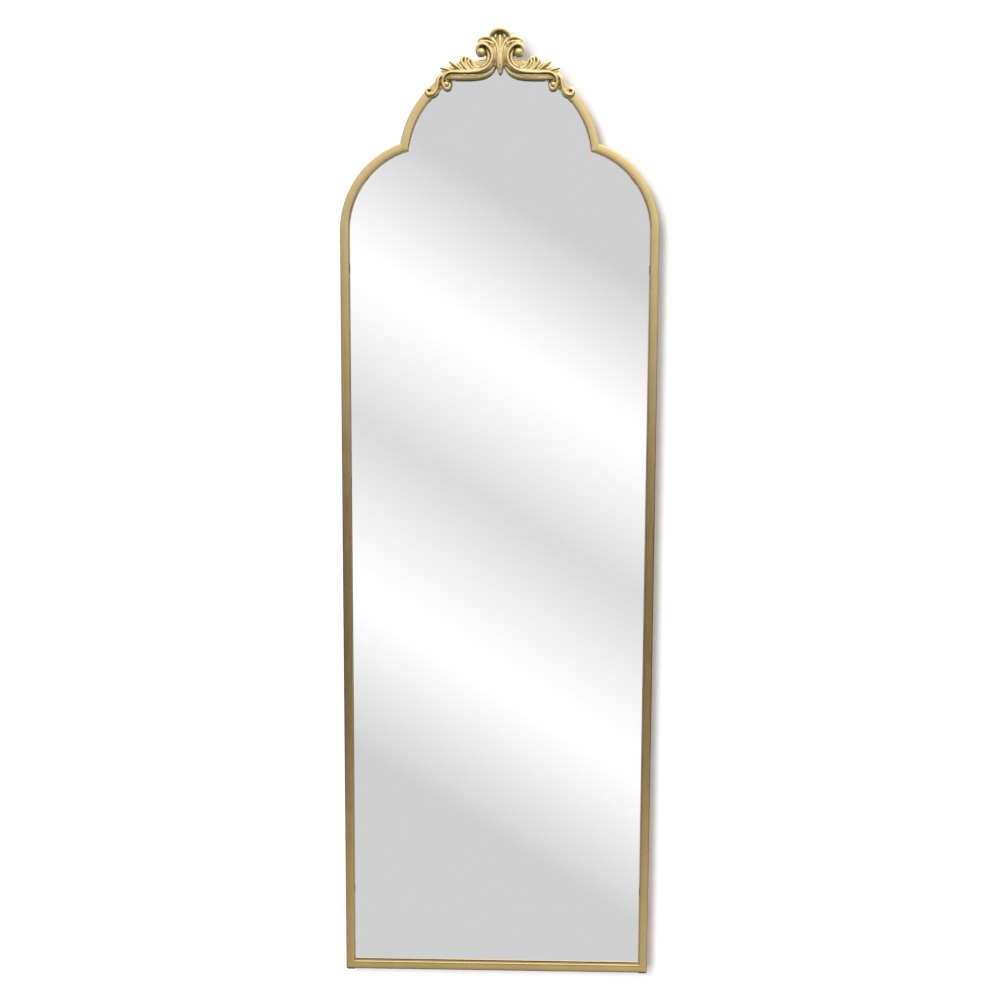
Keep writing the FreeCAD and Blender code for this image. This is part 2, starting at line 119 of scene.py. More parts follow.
def dot(tree, vector, direction):
    node = add_node(tree, "ShaderNodeVectorMath", {0: vector, 1: direction},
                    operation="DOT_PRODUCT")
    return node.outputs["Value"]


def ramp(tree, factor, stops, interpolation="LINEAR"):
    """A colour ramp: each stop is its place and its grey or colour."""
    node = add_node(tree, "ShaderNodeValToRGB", {0: factor})
    node.color_ramp.interpolation = interpolation
    elements = node.color_ramp.elements
    while len(elements) < len(stops):
        elements.new(0.5)
    for element, (place, value) in zip(elements, stops):
        element.position = place
        colour = (value, value, value) if isinstance(value, (int, float)) else value
        element.color = (*colour, 1)
    return node.outputs["Color"]


def mix(tree, factor, first, second, blend="MIX"):
    node = add_node(tree, "ShaderNodeMix", {0: factor, 6: first, 7: second},
                    data_type="RGBA", blend_type=blend)
    return node.outputs[2]


# ---- Studio -------------------------------------------------------------------------------------
WHITE = (1, 1, 1, 1)
PLAIN_LIGHT = (0.3, 0.3, 0.3, 1)

# The diagonal panels that the glass mirrors: two directions that give a place on them, that
# place's scale and shift, and the brightness from one end to the other.
PANEL_AHEAD = (-0.02745, -0.98956, -0.14147)
PANEL_ACROSS = (0.61655, -0.15901, 0.99258)
PANEL_SCALE, PANEL_SHIFT = -2.125, 0.484375
PANEL_STOPS = [(0.1, 0.643), (0.301, 1.07), (0.4975, 0.722), (0.71, 1.07), (0.909, 0.643)]

# What satin metal shows, from below to above: a dark floor, a bright strip, a dim warm band and
# the bright upper studio. From left to right it is darker at both sides.
HEIGHT_STOPS = [(0.0, 0.22), (0.17, 0.28), (0.24, 0.9), (0.295, 1.05), (0.332, 0.74),
                (0.355, (0.20, 0.17, 0.13)), (0.388, (0.13, 0.11, 0.075)),
                (0.425, (0.27, 0.23, 0.18)), (0.465, (0.66, 0.67, 0.70)),
                (0.53, (1.28, 1.36, 1.54)), (0.57, (1.55, 1.62, 1.80)), (0.66, 1.6),
                (0.76, 2.0), (1.0, 2.0)]
SIDE_STOPS = [(0.0, 0.42), (0.18, 0.66), (0.32, 0.86), (0.44, 0.93), (0.53, 1.13),
              (0.66, 1.15), (0.82, 0.85), (1.0, 0.45)]

# A lamp's name, the direction that it shines from, its strength and its width in degrees.
LAMPS = [("key_lamp", (-0.46, -1.0, 0.10), 1.65, 38),
         ("high_lamp", (-0.44, -1.0, 0.62), 1.45, 20),
         ("back_lamp", (0.5, 1.0, 0.7), 1.6, 20)]
WALL_GLOW = 0.12
WALL_SHADE = (0.84, 0.85, 0.87)


def light_studio():
    """A white studio: what the glass mirrors, what satin metal shows, and the plain light."""
    world = bpy.data.worlds.new("studio")
    bpy.context.scene.world = world
    world.use_nodes = True
    tree = world.node_tree
    tree.nodes.clear()
    way = add_node(tree, "ShaderNodeTexCoord").outputs["Generated"]
    path = add_node(tree, "ShaderNodeLightPath").outputs

    slope = maths(tree, "DIVIDE", dot(tree, way, PANEL_ACROSS), dot(tree, way, PANEL_AHEAD))
    place = maths(tree, "MULTIPLY_ADD", slope, PANEL_SCALE, PANEL_SHIFT)
    panels = ramp(tree, place, PANEL_STOPS)

    parts = add_node(tree, "ShaderNodeSeparateXYZ", {0: way}).outputs
    heights = ramp(tree, maths(tree, "MULTIPLY_ADD", parts["Z"], 0.5, 0.5), HEIGHT_STOPS)
    sides = ramp(tree, maths(tree, "MULTIPLY_ADD", parts["X"], 0.5, 0.5), SIDE_STOPS)
    satin = mix(tree, 1.0, heights, sides, "MULTIPLY")

    light = mix(tree, path["Is Diffuse Ray"], satin, PLAIN_LIGHT)
    light = mix(tree, path["Is Singular Ray"], light, panels)
    light = mix(tree, path["Is Camera Ray"], light, WHITE)
    background = add_node(tree, "ShaderNodeBackground", {"Color": light, "Strength": 1.0})
    add_node(tree, "ShaderNodeOutputWorld", {"Surface": background.outputs[0]})


def sun(name, toward, strength, angle):
    """A lamp far away, in the direction toward."""
    data = bpy.data.lights.new(name, "SUN")
    data.energy = strength
    data.angle = math.radians(angle)
    lamp = bpy.data.objects.new(name, data)
    lamp.rotation_euler = Vector(toward).to_track_quat("Z", "Y").to_euler()
    lamp.visible_glossy = False
    bpy.context.scene.collection.objects.link(lamp)


def backdrop_material(name, glow, shade):
    """White that keeps the object's shadow, for the camera only and from its front only."""
    material = bpy.data.materials.new(name)
    material.use_nodes = True
    tree = material.node_tree
    tree.nodes.clear()
    path = add_node(tree, "ShaderNodeLightPath").outputs
    side = add_node(tree, "ShaderNodeNewGeometry").outputs
    white = add_node(tree, "ShaderNodeBsdfDiffuse", {"Color": (*shade, 1)})
    lit = add_node(tree, "ShaderNodeEmission", {"Color": WHITE, "Strength": glow})
    both = add_node(tree, "ShaderNodeAddShader", {0: white.outputs[0], 1: lit.outputs[0]})
    clear = add_node(tree, "ShaderNodeBsdfTransparent")
    front = maths(tree, "SUBTRACT", 1.0, side["Backfacing"])
    seen = maths(tree, "MULTIPLY", path["Is Camera Ray"], front)
    surface = add_node(tree, "ShaderNodeMixShader",
                       {0: seen, 1: clear.outputs[0], 2: both.outputs[0]})
    add_node(tree, "ShaderNodeOutputMaterial", {"Surface": surface.outputs[0]})
    return material


def lay_stage():
    """A white wall just behind the bumpers, which goes on below the feet."""
    bpy.ops.mesh.primitive_plane_add(size=WALL_SIZE, location=(0, WALL_Y, 0),
                                     rotation=(math.radians(90), 0, 0))
    wall = bpy.context.object
    wall.name = "wall"
    wall.data.materials.append(backdrop_material("white_wall", WALL_GLOW, WALL_SHADE))
    wall.select_set(False)


light_studio()
for settings in LAMPS:
    sun(*settings)
lay_stage()


# ---- Modelling helpers --------------------------------------------------------------------------
def pick(*pieces):
    """Select only these, with the first one active."""
    bpy.ops.object.select_all(action="DESELECT")
    for piece in pieces:
        piece.select_set(True)
    bpy.context.view_layer.objects.active = pieces[0]


def apply_place():
    """Bake the selected piece's place, turn and scale into its mesh."""
    bpy.ops.object.transform_apply(location=True, rotation=True, scale=True)


def keep(piece, name, body):
    """Name a finished piece, bake its place into its mesh and let it ride."""
    piece.name = name
    piece.data.name = name
    pick(piece)
    apply_place()
    piece.select_set(False)
    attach(piece, body)
    return piece


def begin_tube(centre):
    """A flat tube section with rounded corners at centre, in edit mode and all selected."""
    bpy.ops.mesh.primitive_plane_add(size=1, location=centre)
    piece = bpy.context.object
    piece.scale = (TUBE_FACE, TUBE_DEPTH, 1)
    apply_place()
    bpy.ops.object.mode_set(mode="EDIT")
    bpy.ops.mesh.select_all(action="SELECT")
    bpy.ops.mesh.bevel(offset=TUBE_CORNER, segments=CORNER_STEPS, affect="VERTICES")
    bpy.ops.mesh.select_all(action="SELECT")
    return piece


def select_top(piece):
    """Select only the highest level face, in edit mode."""
    bpy.ops.mesh.select_all(action="DESELECT")
    mesh = bmesh.from_edit_mesh(piece.data)
    mesh.faces.ensure_lookup_table()
    highest = max(mesh.faces, key=lambda face: face.calc_center_median().z)
    highest.select_set(True)
    bmesh.update_edit_mesh(piece.data)


def cut_off(point, normal):
    """Cut the whole piece at a plane and close it. The side that normal points to goes away."""
    bpy.ops.mesh.select_all(action="SELECT")
    bpy.ops.mesh.bisect(plane_co=point, plane_no=normal, use_fill=True, clear_outer=True)


def close_mesh(piece, merge, smooth):
    """Merge close points, turn all faces outward, leave edit mode and shade smooth."""
    bpy.ops.mesh.select_all(action="SELECT")
    bpy.ops.mesh.remove_doubles(threshold=merge)
    bpy.ops.mesh.normals_make_consistent(inside=False)
    bpy.ops.object.mode_set(mode="OBJECT")
    bpy.ops.object.shade_smooth_by_angle(angle=math.radians(smooth))
    return piece


def mirror_copy(piece):
    """A copy with its own mesh on the other side of the middle plane."""
    other = piece.copy()
    other.data = piece.data.copy()
    bpy.context.scene.collection.objects.link(other)
    pick(other)
    bpy.ops.object.mode_set(mode="EDIT")
    bpy.ops.mesh.select_all(action="SELECT")
    bpy.ops.transform.resize(value=(-1, 1, 1), center_override=(0, 0, 0))
    bpy.ops.mesh.normals_make_consistent(inside=False)
    bpy.ops.object.mode_set(mode="OBJECT")
    return other


def cusp(inset):
    """Where shoulder and crown meet on the right, this far inside the frame's outer edge."""
    shoulder = SHOULDER_RADIUS - inset
    crown = CROWN_RADIUS - inset
    dx = -SHOULDER_X
    dz = CROWN_Z - SHOULDER_Z
    apart = math.hypot(dx, dz)
    along = (shoulder ** 2 - crown ** 2 + apart ** 2) / (2 * apart)
    across = math.sqrt(shoulder ** 2 - along ** 2)
    return (SHOULDER_X + (along * dx + across * dz) / apart,
            SHOULDER_Z + (along * dz - across * dx) / apart)


# ---- Frame tubes --------------------------------------------------------------------------------
mitre_out = cusp(0)
mitre_in = cusp(TUBE_FACE)
mitre_way = Vector((mitre_out[0] - mitre_in[0], 0, mitre_out[1] - mitre_in[1])).normalized()
mitre_normal = (-mitre_way.z, 0, mitre_way.x)


def right_stile():
    """Straight from the floor, bent into the shoulder, mitred at the rail and at the crown."""
    piece = begin_tube((HALF_WIDTH - TUBE_FACE / 2, TUBE_Y, RAIL_BOTTOM))
    bpy.ops.mesh.extrude_region_move(
        TRANSFORM_OT_translate={"value": (0, 0, SHOULDER_Z - RAIL_BOTTOM)})
    select_top(piece)
    bpy.ops.mesh.spin(steps=SHOULDER_STEPS, angle=math.radians(90),
                      center=(SHOULDER_X, 0, SHOULDER_Z), axis=(0, 1, 0))
    cut_off((HALF_WIDTH, 0, RAIL_BOTTOM), (-1, 0, -1))
    cut_off((mitre_in[0], 0, mitre_in[1]), mitre_normal)
    return close_mesh(piece, TUBE_MERGE, TUBE_SMOOTH)


def crown_arch():
    """A half circle, mitred at both cusps."""
    piece = begin_tube((CROWN_RADIUS - TUBE_FACE / 2, TUBE_Y, CROWN_Z))
    bpy.ops.mesh.spin(steps=CROWN_STEPS, angle=math.radians(180), center=(0, 0, CROWN_Z),
                      axis=(0, 1, 0))
    cut_off((mitre_in[0], 0, mitre_in[1]), tuple(-value for value in mitre_normal))
    cut_off((-mitre_in[0], 0, mitre_in[1]), (mitre_normal[0], 0, -mitre_normal[2]))
    return close_mesh(piece, TUBE_MERGE, TUBE_SMOOTH)


def bottom_rail():
    """Drawn upright, laid down and mitred at both ends."""
    piece = begin_tube((0, TUBE_Y, -HALF_WIDTH))
    bpy.ops.mesh.extrude_region_move(TRANSFORM_OT_translate={"value": (0, 0, 2 * HALF_WIDTH)})
    bpy.ops.mesh.select_all(action="SELECT")
    bpy.ops.transform.rotate(value=math.radians(90), orient_axis="Y", center_override=(0, 0, 0))
    bpy.ops.transform.translate(value=(0, 0, RAIL_BOTTOM + TUBE_FACE / 2))
    cut_off((HALF_WIDTH, 0, RAIL_BOTTOM), (1, 0, 1))
    cut_off((-HALF_WIDTH, 0, RAIL_BOTTOM), (-1, 0, 1))
    return close_mesh(piece, TUBE_MERGE, TUBE_SMOOTH)


stile = right_stile()
other_stile = mirror_copy(stile)
arch = crown_arch()
rail = bottom_rail()
tubes = [(stile, "right_stile_tube", "right_stile"), (other_stile, "left_stile_tube", "left_stile"),
         (arch, "crown_arch_tube", "crown_arch"), (rail, "bottom_rail_tube", "bottom_rail")]
for piece, name, node in tubes:
    keep(piece, name, "frame")
    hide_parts(node)


# ---- Crest --------------------------------------------------------------------------------------
# The crest is carved from strands. A strand's points are x from the middle, height over the
# crown's top, half width, and relief in front of the tube, all in millimetres, on the right half.
SCROLL_BAND = [(33.5, 2.6, 2.4, 12), (37, 4.6, 2.9, 13), (38.9, 9.6, 3, 13.5),
               (38.8, 15.6, 3, 13.5), (35.8, 20.4, 3.2, 13.5), (29.6, 22, 3.4, 13.5),
               (22.8, 20.3, 3.8, 13.5), (17, 15.6, 4.2, 13.5), (13, 8.5, 4.5, 13.5),
               (11.6, 1.2, 4.8, 13.5), (12.8, -7, 5.2, 13.5), (17.5, -14.3, 5.4, 13.5),
               (25, -19.6, 5.4, 13), (36, -22.2, 5, 12.5), (50, -23.4, 4.2, 12),
               (66, -23.8, 3.8, 11.5), (82, -24, 3.6, 11), (91, -26.2, 3.5, 10.8),
               (96.6, -31.2, 3.3, 10.6), (99, -39, 3.2, 10.4), (98.2, -46.8, 3.2, 10),
               (94.4, -52, 3.2, 9.8), (89.6, -52.2, 3, 9.6), (86.6, -48, 2.8, 9.4),
               (87, -43.4, 2.4, 9.2)]
SCROLL_RIDGE = [(39.4, 11, 1.6, 14), (38.8, 16.8, 1.8, 14.5), (35.6, 20.6, 2, 14.8),
                (29.6, 21.8, 2.2, 15), (23.6, 20, 2.4, 15), (18.2, 15.2, 2.6, 15.1),
                (14.6, 8.2, 2.7, 15.2), (13.4, 1.2, 2.8, 15.2), (15, -7, 2.8, 15.2),
                (19.4, -13.8, 2.8, 15), (26.6, -19.4, 2.7, 14.6), (38.4, -23.4, 2.5, 14),
                (52, -24.8, 2.3, 13.3), (66, -25.2, 2.2, 12.7), (82, -24.8, 2, 12.3),
                (91, -26.8, 1.9, 12), (96.2, -31.6, 1.8, 11.7), (98.6, -39, 1.7, 11.3),
                (97.8, -46.4, 1.6, 10.9), (94.2, -51.2, 1.4, 10.6)]
SCROLL_FLANK = [(33, 15.4, 2, 6), (26.4, 14.8, 3, 6.4), (21, 10, 4.2, 6.8), (19.4, 3.4, 4.6, 7),
                (20, -3.6, 4.4, 7), (23.4, -9.8, 4, 7), (29.4, -14.4, 3.4, 7), (37, -16.6, 2.6, 7)]
LOWER_MOULDING = [(8.4, -10, 1.8, 8), (9.6, -15, 2.4, 8.6), (13.4, -21.4, 3, 8.8),
                  (20.4, -27.2, 3.6, 8.6), (30.6, -31.2, 4.2, 8.2), (42, -32.8, 4.6, 7.8),
                  (57.5, -33.4, 4.8, 7.6), (74, -33.4, 4.8, 7.2), (86, -33.2, 4.4, 6.6),
                  (93, -33.4, 3.8, 5.4)]
FLUTE_OUTER = [(10.6, 22.5, 2.2, 11), (12.6, 28.4, 2.6, 11.6), (17.6, 32.3, 2.9, 12),
               (23.6, 33.6, 3, 12), (29.6, 32.8, 2.9, 11.8), (33.8, 30.4, 2.6, 11.2),
               (37, 27, 1.9, 10), (38, 25, 1, 8)]
FLUTE_MIDDLE = [(12, 19, 2, 11), (15.2, 23.8, 2.1, 11.8), (20.8, 26.4, 2.2, 12),
                (28, 27, 2.2, 12), (34, 25.2, 2.2, 11.6), (37.8, 22, 1.9, 10.6)]
LOBE_OUTER = [(50, -22.6, 2.4, 11), (58, -18.4, 2.8, 11.8), (63.6, -12, 3.1, 12.4),
              (66.2, -6.2, 3, 12.4), (65.4, -2, 2.7, 11.8), (62.6, 0.6, 2, 10.8),
              (60.4, 0.8, 1.2, 9)]
LOBE_MIDDLE = [(48, -21.6, 1.7, 10.6), (54, -17, 1.8, 11), (58.2, -11.6, 1.9, 11.2),
               (59.6, -6.8, 1.8, 11), (58.8, -1.4, 1.5, 10.2)]
LOBE_INNER = [(42, -20.2, 2, 11), (49.4, -15.8, 2.3, 11.6), (53, -11, 2.4, 11.8),
              (54.2, -6.9, 2.2, 11.4), (53.2, -2.8, 1.6, 10.4)]
LOBE_EDGE = [(34, -16.4, 2.2, 8.6), (41, -15, 2.6, 8.6), (45.6, -11, 2.6, 8.6),
             (48.4, -6.4, 2.2, 8.4), (52, -1.8, 1.6, 8), (57.6, 0.4, 1.3, 8)]
LOBE_FILL = [(48, -16, 4.6, 9), (55, -9, 5.4, 9), (60, -4, 4.4, 8.8), (61.4, -0.6, 2.6, 8.2)]
LEAF_UPPER = [(66, -22.4, 3.2, 10.6), (73, -16.4, 4.2, 10.8), (79, -11.6, 4.4, 10.4),
              (84.4, -8.4, 3, 9.4), (88.2, -6.6, 0.7, 8)]
LEAF_UPPER_VEIN = [(67, -22, 1, 12), (74, -15.6, 1.2, 12.2), (80, -11.2, 1.1, 11.6),
                   (86, -7.6, 0.6, 9.6)]
LEAF_SIDE = [(62.6, -22, 1.6, 11), (67.6, -15.8, 1.9, 11.2), (71.6, -10.8, 1.6, 10.4),
             (74, -8.4, 0.9, 9.4)]
LEAF_LOWER = [(80, -24, 3.2, 10.4), (88.6, -20.8, 3.8, 10.2), (95.4, -19.2, 3.4, 9.6),
              (101.4, -17.8, 1.6, 8.6), (104, -17.4, 0.6, 8)]
LEAF_LOWER_VEIN = [(80, -24.2, 1, 11.8), (89, -21, 1.1, 11.6), (96, -19, 1, 10.8),
                   (102.4, -17.5, 0.5, 9)]
LEAF_FORK = [(90, -23.6, 2.6, 9.4), (97, -23.2, 2.4, 8.8), (102, -23.6, 1, 7.6)]
OUTER_CURL = [(95, -25.6, 2.4, 8.4), (101.4, -29.6, 3.4, 9.2), (105.6, -35.4, 4.2, 10),
              (107.6, -42.4, 4.6, 10.6), (108.6, -49.6, 4.8, 11), (111.2, -56.6, 5, 11.4),
              (116, -61.4, 5, 11.6), (121.6, -62.8, 4.6, 11.6), (126, -60.2, 3.6, 11.6),
              (126.8, -55.4, 3, 11.4), (123.4, -52.2, 2.7, 11.2), (119.6, -53.4, 2.3, 10.8)]
OUTER_CURL_RIDGE = [(99, -28.6, 0.9, 10.4), (105, -36, 1.2, 11.6), (107, -43, 1.3, 12.2),
                    (107.8, -50, 1.4, 12.6), (110.8, -57, 1.4, 13), (116, -62, 1.3, 13.2),
                    (121.8, -63.4, 1.1, 13)]
CAP_LIP = [(16.2, 31.5, 1.4, 11), (16, 35.4, 2.1, 13), (14.2, 39.4, 2.7, 14.6),
           (10.6, 43.2, 3.2, 16), (5.6, 46, 3.6, 16.8), (0, 46.9, 3.8, 17)]
STEM_SIDE = [(13.6, 34.6, 1.8, 10), (9.2, 28, 2.1, 11), (6, 20.6, 2, 11.6),
             (4.2, 13.6, 1.9, 12), (3.4, 6.4, 1.8, 12.2), (3.1, -1, 1.8, 12.2),
             (3.3, -9, 2, 12), (3.2, -17, 2.1, 11.4), (2, -23.6, 1.7, 10.2), (0.5, -27.6, 0.8, 8.8)]
STEM_RIB = [(0, 38, 4, 9.6), (0, 31, 3.6, 11), (0, 20, 2.8, 12), (0, 6, 2.2, 12.4),
            (0, -8, 2.4, 12.4), (0, -18, 3, 11.6), (0, -24.4, 2.3, 10), (0, -28, 0.6, 7.6)]
STEM_FILL = [(0, 44.5, 8, 5.6), (0, 38, 10.4, 8.6), (0, 30, 10, 10.2), (0, 22, 7.4, 11),
             (0, 10, 5.2, 11.4), (0, -6, 5, 11.4), (0, -17, 5.2, 10.6), (0, -23.6, 3.8, 9),
             (0, -28, 1, 6.6)]
SHELL_FILL = [(3.6, 41, 6, 6.4), (9, 36, 6, 7.2), (10.4, 29, 5.4, 9), (9.2, 20, 5, 10.4),
              (8.2, 8, 4.6, 11), (7.8, -4, 4.4, 11), (9.4, -14, 4.6, 10)]
LOWER_FILL = [(14, -16, 4.6, 8.8), (22, -24, 5.2, 8.8), (36, -28.8, 5.2, 8.4), (60, -29.8, 5, 8),
              (84, -29.8, 5, 7.2), (92, -32.6, 4.6, 6.4), (95, -37.6, 4.2, 6)]
ARM_BODY = [(36, -19, 6, 9), (50, -16, 8.5, 9), (62, -13, 9, 9), (74, -15.6, 7, 8.6),
            (86, -20, 5, 8), (97, -22, 3.4, 7.4)]
FLUTE_BODY = [(10.4, 14, 4, 9), (14, 23, 5.4, 9.2), (22, 28, 6, 9.4), (30, 27.6, 6, 9.2),
              (36, 23.6, 4.6, 8.8)]
RIGHT_STRANDS = [SCROLL_BAND, SCROLL_RIDGE, SCROLL_FLANK, LOWER_MOULDING, FLUTE_OUTER,
                 FLUTE_MIDDLE, LOBE_OUTER, LOBE_MIDDLE, LOBE_INNER, LOBE_EDGE, LOBE_FILL,
                 LEAF_UPPER, LEAF_UPPER_VEIN, LEAF_SIDE, LEAF_LOWER, LEAF_LOWER_VEIN, LEAF_FORK,
                 OUTER_CURL, OUTER_CURL_RIDGE, CAP_LIP, STEM_SIDE, SHELL_FILL, ARM_BODY,
                 LOWER_FILL, FLUTE_BODY]
MIDDLE_STRANDS = [STEM_RIB, STEM_FILL]
# A ball's numbers are x, height, radius and relief, in millimetres too.
BALLS = [(31.9, 8.8, 8.3, 15.5), (92, -45, 5, 12), (91.4, -44.4, 8.6, 6.5),
         (122.4, -56.4, 4, 12.4)]

DRAWN_RELIEF = 0.1  # strands are drawn this shallow, so that their sections stand upright
ROUND_STEPS = 12  # steps over a strand's round front
WALL_DEPTH = 12  # how deep a strand's walls go, in half widths
CURVE_STEPS = 8  # steps along a strand from one point to the next
CAST_DEPTH = 0.002  # how far the crest reaches into the tube until it is pressed flat
CAST_GRAIN = 0.0007
SOFTEN_FACTOR, SOFTEN_PASSES = 0.5, 7
CAST_MERGE, CAST_SMOOTH = 0.00004, 60


def strand_profile():
    """A strand's section, one unit wide each side: a round front and long straight walls.

    It is a tenth as deep as it ends up, like the strands drawn with it.
    """
    data = bpy.data.curves.new("strand_profile", "CURVE")
    data.dimensions = "2D"
    angles = [math.pi * step / ROUND_STEPS for step in range(ROUND_STEPS + 1)]
    points = [(math.cos(angle), math.sin(angle) * DRAWN_RELIEF) for angle in angles]
    points += [(side, -WALL_DEPTH * DRAWN_RELIEF) for side in (-1, 1)]
    line = data.splines.new("POLY")
    line.points.add(len(points) - 1)
    for point, (x, y) in zip(line.points, points):
        point.co = (x, y, 0, 1)
    line.use_cyclic_u = True
    profile = bpy.data.objects.new("strand_profile", data)
    bpy.context.scene.collection.objects.link(profile)
    return profile


def draw_strands(strands, profile):
    """All strands as one curve, drawn lying down and then stood up in front of the tube."""
    data = bpy.data.curves.new("crest_strands", "CURVE")
    data.dimensions = "3D"
    data.twist_mode = "Z_UP"
    data.resolution_u = CURVE_STEPS
    data.bevel_mode = "OBJECT"
    data.bevel_object = profile
    data.use_fill_caps = True
    for stations in strands:
        line = data.splines.new("BEZIER")
        line.bezier_points.add(len(stations) - 1)
        for point, (x, height, half, relief) in zip(line.bezier_points, stations):
            point.co = (x / 1000, height / 1000, (relief - half) / 1000 * DRAWN_RELIEF)
            point.radius = half / 1000
            point.handle_left_type = "AUTO"
            point.handle_right_type = "AUTO"
    piece = bpy.data.objects.new("crest_strands", data)
    bpy.context.scene.collection.objects.link(piece)
    piece.scale = (1, 1, 1 / DRAWN_RELIEF)
    piece.rotation_euler = (math.radians(90), 0, 0)
    piece.location = (0, FRONT, CROWN_TOP)
    pick(piece)
    bpy.ops.object.convert(target="MESH")
    apply_place()
    return bpy.context.object


def crest_ball(x, height, radius, relief):
    """A ball with a wall down to the tube's front."""
    centre = (x / 1000, FRONT - (relief - radius) / 1000, CROWN_TOP + height / 1000)
    bpy.ops.mesh.primitive_uv_sphere_add(segments=48, ring_count=24, radius=radius / 1000,
                                         location=centre)
    ball = bpy.context.object
    bpy.ops.object.mode_set(mode="EDIT")
    cut_off(centre, (0, 1, 0))
    bpy.ops.mesh.extrude_region_move(TRANSFORM_OT_translate={"value": (0, relief / 1000, 0)})
    bpy.ops.object.mode_set(mode="OBJECT")
    apply_place()
    return ball


def press_flat(piece, plane):
    """Press all that lies behind y = plane onto that plane."""
    bpy.ops.object.mode_set(mode="EDIT")
    bpy.ops.mesh.select_mode(type="VERT")
    bpy.ops.mesh.select_all(action="DESELECT")
    mesh = bmesh.from_edit_mesh(piece.data)
    for corner in mesh.verts:
        corner.select_set(corner.co.y > plane)
    mesh.select_flush_mode()
    bmesh.update_edit_mesh(piece.data)
    bpy.ops.transform.resize(value=(1, 0, 1), center_override=(0, plane, CROWN_TOP))
    bpy.ops.object.mode_set(mode="OBJECT")


def carve_crest():
    """All strands and balls made one closed casting, with a flat back on the tube's front."""
    profile = strand_profile()
    right = draw_strands(RIGHT_STRANDS, profile)
    parts = [right, mirror_copy(right), draw_strands(MIDDLE_STRANDS, profile)]
    bpy.data.objects.remove(profile)
    for sizes in BALLS:
        ball = crest_ball(*sizes)
        parts += [ball, mirror_copy(ball)]
    pick(*parts)
    bpy.ops.object.join()
    crest = bpy.context.object
    press_flat(crest, FRONT + CAST_DEPTH)
    remesh = crest.modifiers.new("one_casting", "REMESH")
    remesh.mode = "VOXEL"
    remesh.voxel_size = CAST_GRAIN
    bpy.ops.object.modifier_apply(modifier=remesh.name)
    soften = crest.modifiers.new("soften", "SMOOTH")
    soften.factor = SOFTEN_FACTOR
    soften.iterations = SOFTEN_PASSES
    bpy.ops.object.modifier_apply(modifier=soften.name)
    press_flat(crest, FRONT)
    bpy.ops.object.mode_set(mode="EDIT")
    return close_mesh(crest, CAST_MERGE, CAST_SMOOTH)


BLUR_PASSES = 16
HOLLOW_DEPTH, RAISED_HEIGHT = 0.0009, 0.0010  # where a mark reaches its full strength
WALL_FOOT = 0.006  # how far from the tube's front a wall's foot gets painted shade
# How strongly grooves get dark wash and painted shade, how strongly undersides and the walls' feet
# get painted shade, and how much raised rolls lose both.
HOLLOW_WASH_AND_SHADE, UNDER_SHADE, UNDER_SHADE_POWER, FOOT_SHADE, RAISED_LOSS = 1.15, 0.8, 1.5, 0.5, 0.3


def mark_wash_and_shade(piece):
    """Mark where the dark wash and painted shade show under the gilding, and where the gold is
    rubbed bright with a painted highlight.

    The casting's shape is compared with its own blurred shape, so grooves count as hollow and rolls
    as raised. Grooves get dark wash and painted shade. Undersides and the feet of the walls get
    painted shade, and the painted highlight is kept off the undersides.
    """
    mesh = piece.data
    count = len(mesh.vertices)
    place = np.empty(count * 3)
    normal = np.empty(count * 3)
    mesh.vertices.foreach_get("co", place)
    mesh.vertices.foreach_get("normal", normal)
    place = place.reshape(-1, 3)
    normal = normal.reshape(-1, 3)
    ends = np.empty(len(mesh.edges) * 2, dtype=np.int32)
    mesh.edges.foreach_get("vertices", ends)
    first, second = ends.reshape(-1, 2).T
    links = np.bincount(first, minlength=count) + np.bincount(second, minlength=count)
    blurred = place.copy()
    for _ in range(BLUR_PASSES):
        blurred = np.stack([(np.bincount(first, blurred[second, axis], count)
                             + np.bincount(second, blurred[first, axis], count)) / links
                            for axis in range(3)], axis=1)
    bulge = ((place - blurred) * normal).sum(axis=1)
    hollow = np.clip(-bulge / HOLLOW_DEPTH, 0, 1)
    raised = np.clip(bulge / RAISED_HEIGHT, 0, 1)
    # Painted shade on faces that turn downward.
    under = np.clip(-normal[:, 2], 0, 1)
    # Painted shade at the feet of the walls, where the crest meets the tube.
    low = np.clip(1 - (FRONT - place[:, 1]) / WALL_FOOT, 0, 1)
    # Dark wash and painted shade in the grooves, painted shade below and at the feet, less of both
    # on rolls.
    wash_and_shade = np.clip(HOLLOW_WASH_AND_SHADE * hollow + UNDER_SHADE * under ** UNDER_SHADE_POWER + FOOT_SHADE * low
                   - RAISED_LOSS * raised, 0, 1)
    # The second mark is rubbed gold with a painted highlight: raised rolls, except where they face
    # down.
    for name, values in (("wash_and_shade", wash_and_shade), ("rubbed_and_highlight", raised * (1 - under))):
        mark = mesh.attributes.new(name, "FLOAT", "POINT")
        mark.data.foreach_set("value", values.astype(np.float32))


crest = keep(carve_crest(), "scroll_crest", "frame")
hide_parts("crest_ornament")
mark_wash_and_shade(crest)


# ---- Finishes -----------------------------------------------------------------------------------
def new_material(name):
    material = bpy.data.materials.new(name)
    material.use_nodes = True
    tree = material.node_tree
    tree.nodes.clear()
    return material, tree


